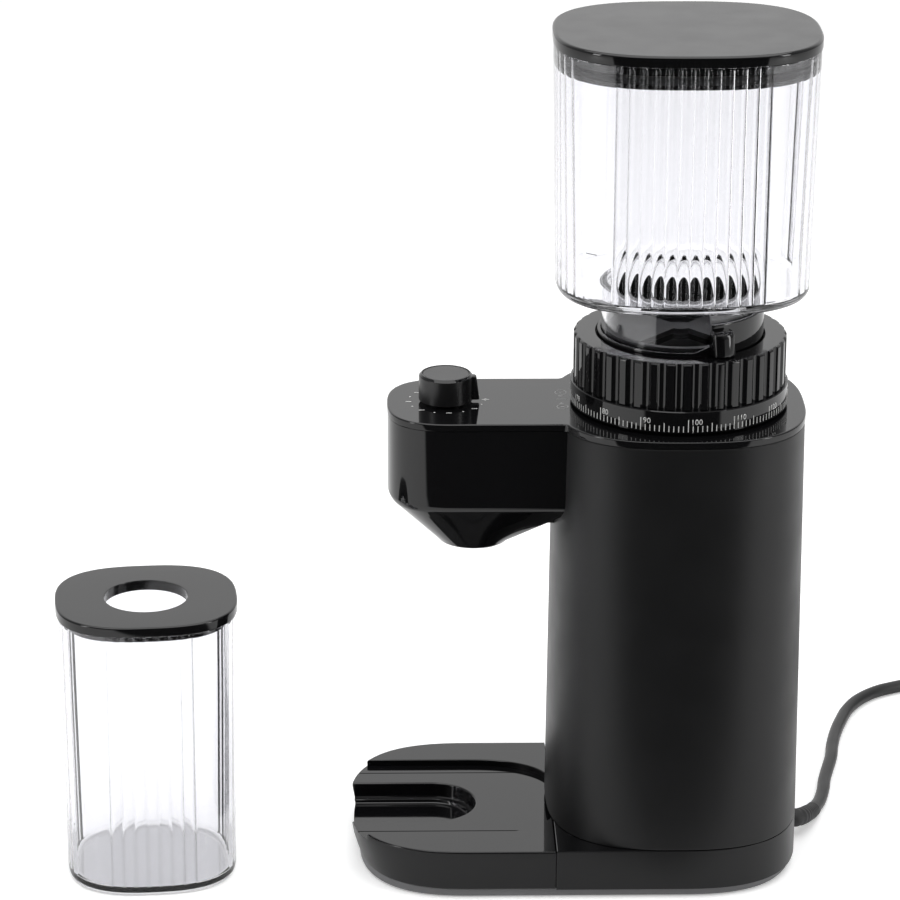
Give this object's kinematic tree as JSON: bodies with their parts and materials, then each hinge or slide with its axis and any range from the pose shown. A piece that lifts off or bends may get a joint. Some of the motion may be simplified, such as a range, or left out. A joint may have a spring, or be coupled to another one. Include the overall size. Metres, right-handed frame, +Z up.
{
  "type": "burr coffee grinder",
  "caption": "Electric conical burr coffee grinder: clear bean hopper on a fluted adjusting ring, spout arm with a control knob, catch tray and a separate clear grounds container.",
  "frame": {"origin": "on the burr axis, at the surface that the rubber feet stand on", "axes": "+Z up along the burr axis, -Y towards the spout arm's nose, +Y towards the cord, +X to the grinder's left as its user faces it from -Y looking along +Y"},
  "size_m": [0.3135, 0.4959, 0.38],
  "materials": {
    "foot_rubber": "matt moulded rubber",
    "base_strip": "satin grey plastic",
    "satin_black": "satin black powder coat",
    "gloss_black": "high gloss black plastic",
    "clear_plastic": "clear moulded copolyester",
    "seal_rubber": "soft black rubber",
    "plug_brass": "machined brass",
    "inner_black": "fine matt plastic",
    "cast_metal": "die-cast, as cast",
    "motor_steel": "drawn steel can",
    "bright_steel": "bright turned steel",
    "burr_steel": "ground hardened steel",
    "board_green": "green solder mask",
    "gear_plastic": "natural acetal"
  },
  "bodies": {
    "root": {"rubber_feet": "foot_rubber", "base_plate": "base_strip", "base_body": "satin_black", "base_screws": "bright_steel", "column_shell": "satin_black", "inner_frame": "inner_black", "motor_can": "motor_steel", "motor_end_cap": "inner_black", "motor_screws": "bright_steel", "control_board": "board_green", "board_parts": "inner_black", "gearbox_case": "cast_metal", "gearbox_cover": "cast_metal", "gearbox_screws": "bright_steel", "idler_axle": "bright_steel", "lower_bearing": "bright_steel", "upper_bearing": "bright_steel", "grinding_chamber": "inner_black", "chamber_cap": "inner_black", "chamber_screws": "bright_steel", "top_plate": "gloss_black", "detent_pin": "bright_steel", "arm_shell": "gloss_black", "grounds_chute": "inner_black", "knob_encoder": "inner_black", "knob_board": "board_green", "strain_relief": "seal_rubber", "cord_lead": "seal_rubber", "cord_coil": "seal_rubber", "cord_tail": "seal_rubber", "plug_body": "seal_rubber", "plug_pins": "plug_brass"},
    "rotor": {"motor_pinion": "plug_brass"},
    "idler": {"idler_gear": "gear_plastic"},
    "spin": {"burr_shaft": "bright_steel", "output_gear": "gear_plastic", "grounds_sweeper": "gear_plastic", "cone_burr": "burr_steel", "feed_auger": "burr_steel", "burr_nut": "bright_steel"},
    "ring": {"adjusting_ring": "gloss_black", "scale_band": "gloss_black"},
    "carrier": {"burr_carrier": "inner_black", "ring_burr": "burr_steel"},
    "hopper": {"hopper_shell": "clear_plastic"},
    "collar": {"locking_collar": "gloss_black", "shutter_disc": "inner_black"},
    "lid": {"hopper_lid": "gloss_black", "lid_seal": "seal_rubber"},
    "knob_hub": {"knob_spindle": "bright_steel"},
    "knob": {"knob_cap": "gloss_black", "knob_face": "gloss_black"},
    "tray": {"catch_tray": "gloss_black"},
    "container": {"grounds_container": "clear_plastic"},
    "container_cover": {"container_lid": "gloss_black"}
  },
  "joints": [
    {"name": "ring_turn", "type": "hinge", "parent": "root", "child": "ring", "pos_m": [0, 0, 0.229], "axis": [0, 0, 1], "range_deg": [-196, 156]},
    {"name": "carrier_slide", "type": "slide", "parent": "root", "child": "carrier", "axis": [0, 0, 1], "range_m": [-0.00124, 0.00156]},
    {"name": "burr_spin", "type": "hinge", "parent": "root", "child": "spin", "pos_m": [0, 0, 0.19], "axis": [0, 0, 1], "continuous": true},
    {"name": "idler_spin", "type": "hinge", "parent": "root", "child": "idler", "pos_m": [0, 0.027, 0.136], "axis": [0, 0, 1], "continuous": true},
    {"name": "rotor_spin", "type": "hinge", "parent": "root", "child": "rotor", "pos_m": [0, 0, 0.125], "axis": [0, 0, 1], "continuous": true},
    {"name": "hopper_lift", "type": "slide", "parent": "root", "child": "hopper", "axis": [0, 0, 1], "range_m": [0, 0.15]},
    {"name": "collar_turn", "type": "hinge", "parent": "hopper", "child": "collar", "pos_m": [0, 0, 0.25], "axis": [0, 0, 1], "range_deg": [0, 90]},
    {"name": "lid_lift", "type": "slide", "parent": "hopper", "child": "lid", "axis": [0, 0, 1], "range_m": [0, 0.12]},
    {"name": "knob_turn", "type": "hinge", "parent": "root", "child": "knob_hub", "pos_m": [0, -0.102, 0.215], "axis": [0, 0, -1], "range_deg": [0, 337.5]},
    {"name": "knob_push", "type": "slide", "parent": "knob_hub", "child": "knob", "axis": [0, 0, -1], "range_m": [0, 0.0008], "stiffness_N_per_m": 1500},
    {"name": "tray_pull", "type": "slide", "parent": "root", "child": "tray", "axis": [0, -1, 0], "range_m": [0, 0.04]},
    {"name": "container_lift", "type": "slide", "parent": "root", "child": "container", "axis": [0, 0, 1], "range_m": [0, 0.15]},
    {"name": "container_lid_lift", "type": "slide", "parent": "container", "child": "container_cover", "axis": [0, 0, 1], "range_m": [0, 0.08]}
  ],
  "couplings": [
    {"joint": "ring_turn", "follows": "carrier_slide", "rad_per_m": -2183.4},
    {"joint": "idler_spin", "follows": "burr_spin", "ratio": -3.5},
    {"joint": "rotor_spin", "follows": "burr_spin", "ratio": 12.25}
  ]
}
